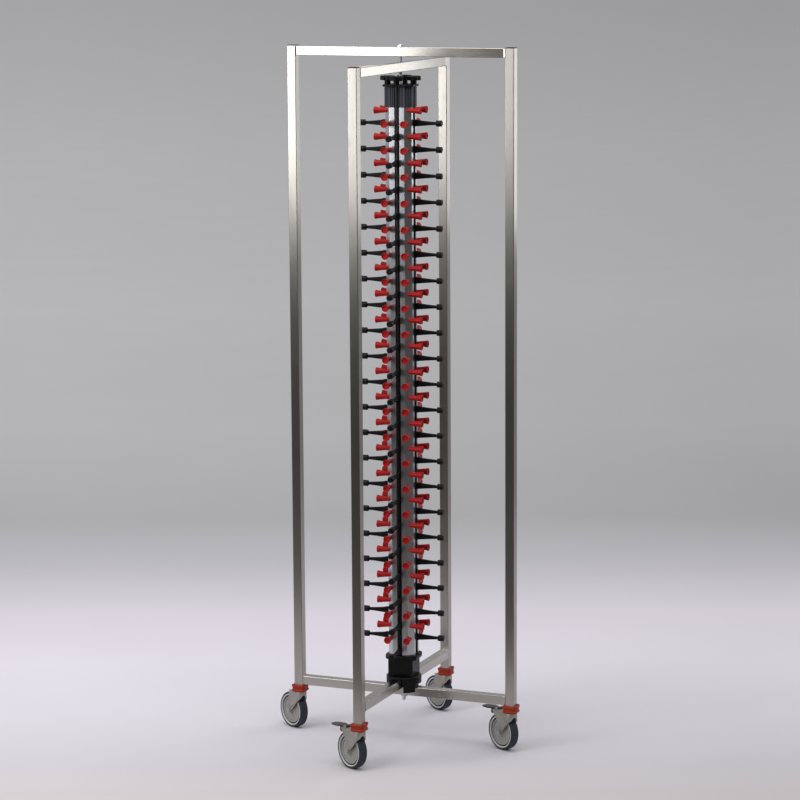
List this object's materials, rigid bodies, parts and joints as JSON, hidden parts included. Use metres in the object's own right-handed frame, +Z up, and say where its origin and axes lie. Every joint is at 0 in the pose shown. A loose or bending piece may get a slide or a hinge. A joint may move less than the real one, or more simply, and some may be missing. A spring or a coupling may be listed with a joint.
{
  "type": "plate rack trolley",
  "caption": "Plate rack trolley: a turning column of pegs and swinging arms inside crossed steel tube frames on swivel casters.",
  "frame": {"origin": "column axis at the underside of the lower cross of tubes, 130 mm above the floor", "axes": "+Z up, +X from the left post to the right post along the taller frame, +Y from the front post to the back post along the lower frame"},
  "size_m": [0.7204, 0.6938, 1.903],
  "materials": {
    "brushed_tube": "brushed",
    "bright_fittings": "satin",
    "column_aluminium": "anodised satin",
    "black_plastic": "matte moulded",
    "dark_block": "matte moulded",
    "red_rubber": "matte moulded",
    "bumper_rubber": "matte moulded",
    "caster_steel": "pressed, satin",
    "tyre_rubber": "matte",
    "wheel_grey": "moulded",
    "pedal_plastic": "matte moulded"
  },
  "bodies": {
    "frame": {"left_post": "brushed_tube", "right_post": "brushed_tube", "front_post": "brushed_tube", "back_post": "brushed_tube", "top_beam_across": "brushed_tube", "top_beam_front_to_back": "brushed_tube", "base_beam_across": "brushed_tube", "base_beam_front_to_back": "brushed_tube", "post_caps": "black_plastic", "tie_rod": "bright_fittings", "tie_washers": "bright_fittings", "lower_nut": "bright_fittings", "dome_nut": "bright_fittings", "bearing_cup": "black_plastic", "bumper_collars": "bumper_rubber", "caster_stems": "caster_steel"},
    "column": {"column_profile": "column_aluminium", "base_block": "black_plastic", "top_block": "dark_block", "front_pegs": "red_rubber", "right_pegs": "red_rubber", "back_pegs": "red_rubber", "left_pegs": "red_rubber"},
    "front_arm_set": {"front_arm_rod": "black_plastic", "front_knob": "black_plastic", "front_arms": "black_plastic"},
    "right_arm_set": {"right_arm_rod": "black_plastic", "right_knob": "black_plastic", "right_arms": "black_plastic"},
    "back_arm_set": {"back_arm_rod": "black_plastic", "back_knob": "black_plastic", "back_arms": "black_plastic"},
    "left_arm_set": {"left_arm_rod": "black_plastic", "left_knob": "black_plastic", "left_arms": "black_plastic"},
    "left_caster": {"left_fork": "caster_steel", "left_guard": "black_plastic", "left_axle": "caster_steel"},
    "left_wheel": {"left_wheel_disc": "wheel_grey", "left_tyre": "tyre_rubber"},
    "right_caster": {"right_fork": "caster_steel", "right_guard": "black_plastic", "right_axle": "caster_steel"},
    "right_wheel": {"right_wheel_disc": "wheel_grey", "right_tyre": "tyre_rubber"},
    "right_pedal": {"right_brake_pedal": "pedal_plastic"},
    "front_caster": {"front_fork": "caster_steel", "front_guard": "black_plastic", "front_axle": "caster_steel"},
    "front_wheel": {"front_wheel_disc": "wheel_grey", "front_tyre": "tyre_rubber"},
    "front_pedal": {"front_brake_pedal": "pedal_plastic"},
    "back_caster": {"back_fork": "caster_steel", "back_guard": "black_plastic", "back_axle": "caster_steel"},
    "back_wheel": {"back_wheel_disc": "wheel_grey", "back_tyre": "tyre_rubber"}
  },
  "joints": [
    {"name": "column_turn", "type": "hinge", "parent": "frame", "child": "column", "pos_m": [0, 0, 0.0562], "axis": [0, 0, 1], "continuous": true},
    {"name": "front_arms_swing", "type": "hinge", "parent": "column", "child": "front_arm_set", "pos_m": [0.00326, -0.03585, 0.116], "axis": [0, 0, 1], "range_deg": [-35, 35]},
    {"name": "right_arms_swing", "type": "hinge", "parent": "column", "child": "right_arm_set", "pos_m": [0.03585, 0.00326, 0.116], "axis": [0, 0, 1], "range_deg": [-35, 35]},
    {"name": "back_arms_swing", "type": "hinge", "parent": "column", "child": "back_arm_set", "pos_m": [-0.00326, 0.03585, 0.116], "axis": [0, 0, 1], "range_deg": [-35, 35]},
    {"name": "left_arms_swing", "type": "hinge", "parent": "column", "child": "left_arm_set", "pos_m": [-0.03585, -0.00326, 0.116], "axis": [0, 0, 1], "range_deg": [-35, 35]},
    {"name": "left_swivel", "type": "hinge", "parent": "frame", "child": "left_caster", "pos_m": [-0.3125, 0, -0.0219], "axis": [0, 0, 1], "continuous": true},
    {"name": "left_roll", "type": "hinge", "parent": "left_caster", "child": "left_wheel", "pos_m": [-0.33948, 0.01527, -0.08], "axis": [-0.4924, -0.8704, 0], "continuous": true},
    {"name": "right_swivel", "type": "hinge", "parent": "frame", "child": "right_caster", "pos_m": [0.3125, 0, -0.0219], "axis": [0, 0, 1], "continuous": true},
    {"name": "right_roll", "type": "hinge", "parent": "right_caster", "child": "right_wheel", "pos_m": [0.28552, 0.01527, -0.08], "axis": [-0.4924, -0.8704, 0], "continuous": true},
    {"name": "right_brake", "type": "hinge", "parent": "right_caster", "child": "right_pedal", "pos_m": [0.26898, 0.02462, -0.0221], "axis": [-0.4924, -0.8704, 0], "range_deg": [0, 12]},
    {"name": "front_swivel", "type": "hinge", "parent": "frame", "child": "front_caster", "pos_m": [0, -0.3125, -0.0219], "axis": [0, 0, 1], "continuous": true},
    {"name": "front_roll", "type": "hinge", "parent": "front_caster", "child": "front_wheel", "pos_m": [-0.02698, -0.29724, -0.08], "axis": [-0.4924, -0.8704, 0], "continuous": true},
    {"name": "front_brake", "type": "hinge", "parent": "front_caster", "child": "front_pedal", "pos_m": [-0.04352, -0.28788, -0.0221], "axis": [-0.4924, -0.8704, 0], "range_deg": [0, 12]},
    {"name": "back_swivel", "type": "hinge", "parent": "frame", "child": "back_caster", "pos_m": [0, 0.3125, -0.0219], "axis": [0, 0, 1], "continuous": true},
    {"name": "back_roll", "type": "hinge", "parent": "back_caster", "child": "back_wheel", "pos_m": [-0.02698, 0.32776, -0.08], "axis": [-0.4924, -0.8704, 0], "continuous": true}
  ]
}
